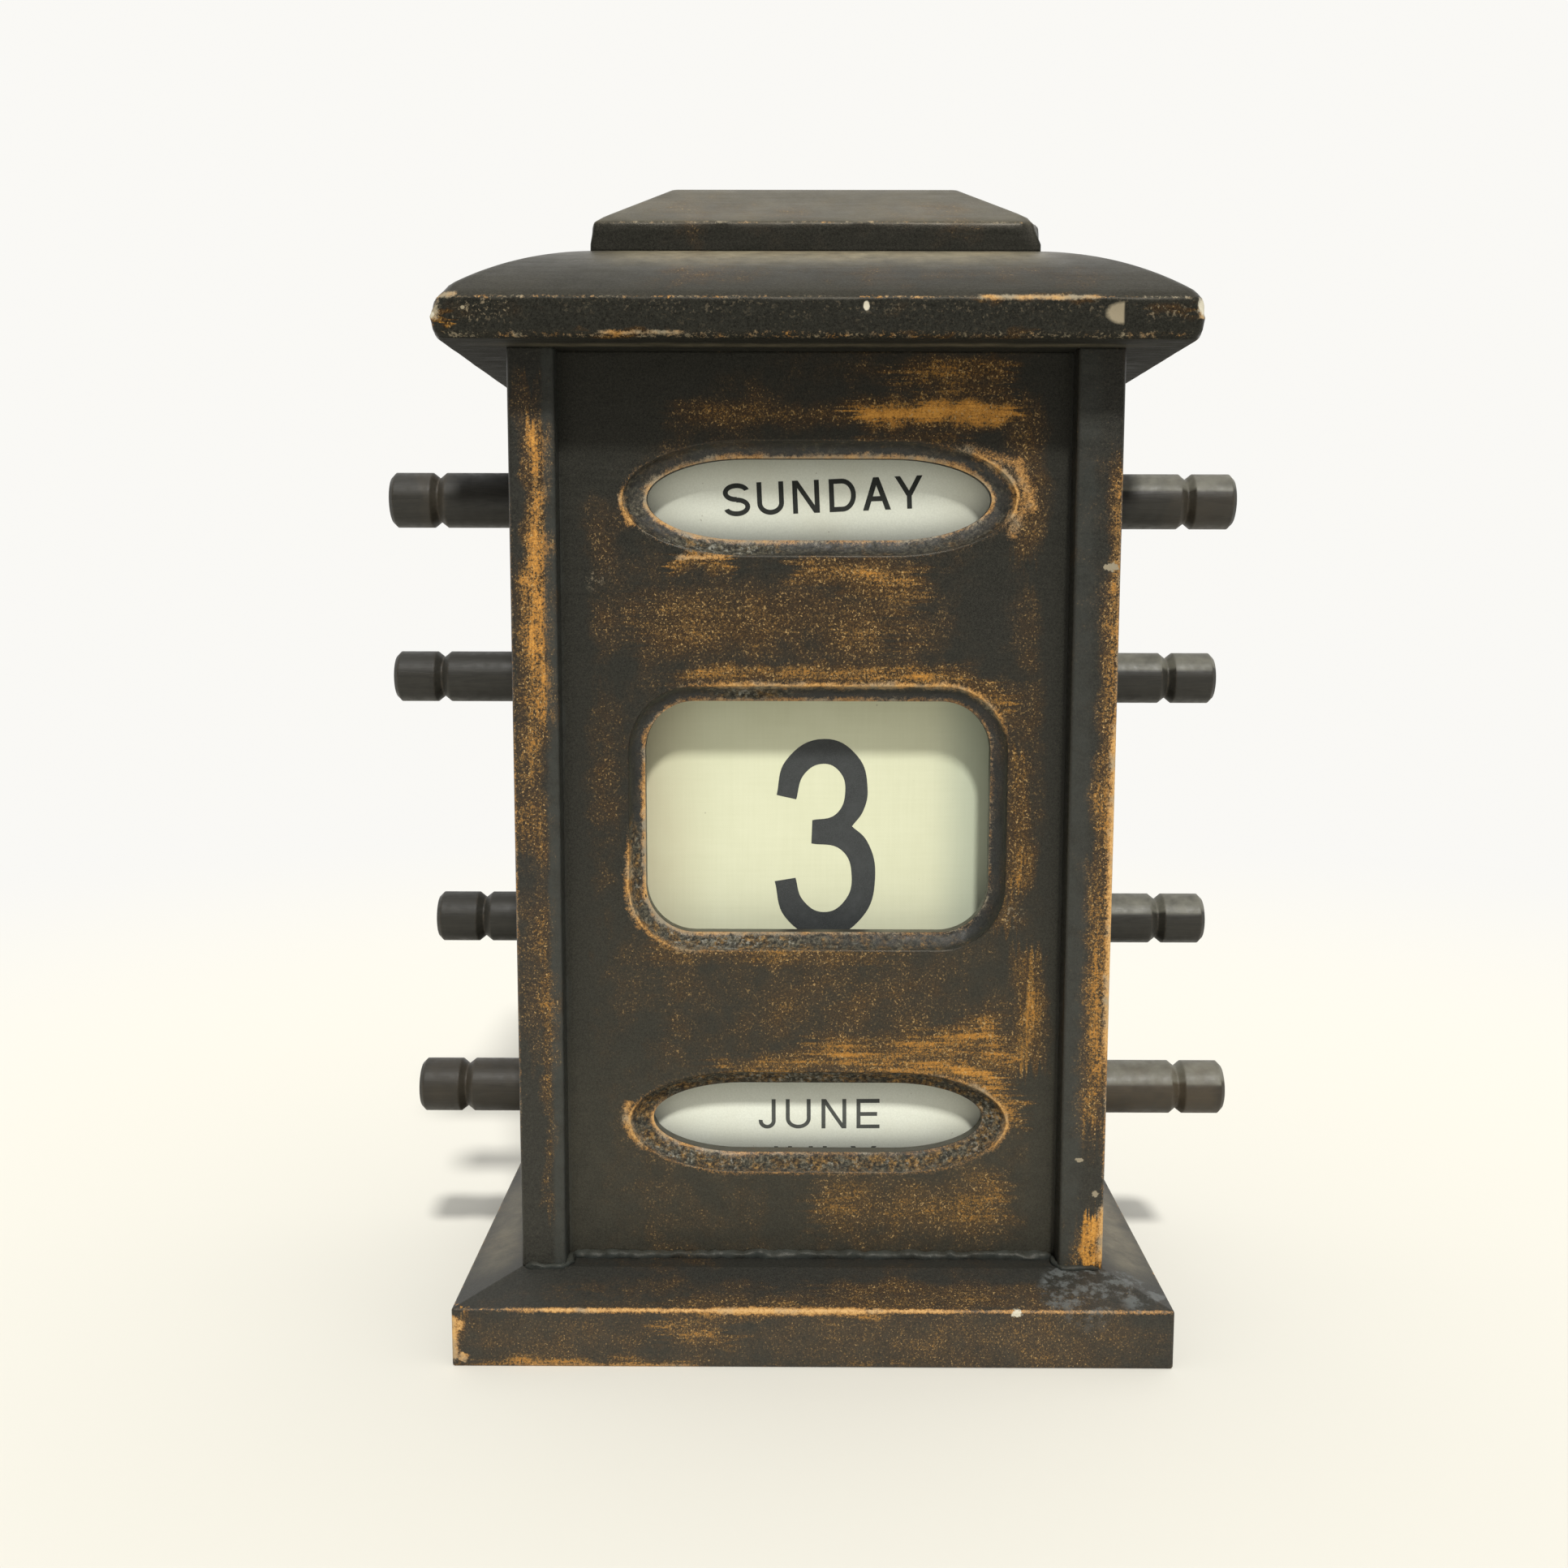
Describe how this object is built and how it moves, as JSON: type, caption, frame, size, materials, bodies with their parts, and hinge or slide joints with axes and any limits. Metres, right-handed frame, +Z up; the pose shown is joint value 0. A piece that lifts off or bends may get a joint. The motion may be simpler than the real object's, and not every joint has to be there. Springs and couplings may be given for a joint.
{
  "type": "perpetual desk calendar",
  "caption": "Upright wooden desk calendar with weekday, date and month windows, set by turning dowel knobs that stand out on both sides.",
  "frame": {"origin": "middle of the underside of the base board", "axes": "+Z up, the windows face -Y, +X to the reader's right"},
  "size_m": [0.1978, 0.1046, 0.2577],
  "materials": {
    "case_wood": "near-black paint rubbed back to orange-brown wood along edges, satin",
    "back_board": "flat near-black paint",
    "bare_wood": "unfinished softwood",
    "shaft_wood": "near-black stained dowel, satin",
    "label_paper": "matt off-white printed paper",
    "band_cloth": "cream cotton tape, fine weave, printed",
    "steel": "plain drawn steel",
    "brass_screw": "slotted brass, dulled"
  },
  "bodies": {
    "case": {"base_board": "case_wood", "side_board_left": "case_wood", "side_board_right": "case_wood", "front_panel": "case_wood", "back_panel": "back_board", "back_cleat_left": "bare_wood", "back_cleat_right": "bare_wood", "cornice_board": "case_wood", "crown_block": "case_wood", "guide_rod_upper": "steel", "guide_rod_lower": "steel", "date_band": "band_cloth", "back_screws": "brass_screw", "base_screws": "steel"},
    "weekday_roller": {"weekday_shaft": "shaft_wood", "weekday_drum": "bare_wood", "weekday_label": "label_paper"},
    "month_roller": {"month_shaft": "shaft_wood", "month_drum": "bare_wood", "month_label": "label_paper"},
    "date_upper_roller": {"date_upper_shaft": "shaft_wood", "date_upper_roll": "band_cloth", "date_upper_flange_left": "bare_wood", "date_upper_flange_right": "bare_wood"},
    "date_lower_roller": {"date_lower_shaft": "shaft_wood", "date_lower_roll": "band_cloth", "date_lower_flange_left": "bare_wood", "date_lower_flange_right": "bare_wood"}
  },
  "joints": [
    {"name": "weekday_turn", "type": "hinge", "parent": "case", "child": "weekday_roller", "pos_m": [0, -0.002, 0.18826], "axis": [-1, 0, 0], "continuous": true},
    {"name": "month_turn", "type": "hinge", "parent": "case", "child": "month_roller", "pos_m": [0, -0.002, 0.0475], "axis": [-1, 0, 0], "continuous": true},
    {"name": "date_upper_turn", "type": "hinge", "parent": "case", "child": "date_upper_roller", "pos_m": [0, -0.002, 0.14713], "axis": [-1, 0, 0], "range_deg": [-1029, 9737]},
    {"name": "date_lower_turn", "type": "hinge", "parent": "case", "child": "date_lower_roller", "pos_m": [0, -0.002, 0.08933], "axis": [-1, 0, 0], "range_deg": [-1029, 9737]}
  ],
  "couplings": [
    {"joint": "date_lower_turn", "follows": "date_upper_turn", "ratio": 1}
  ]
}
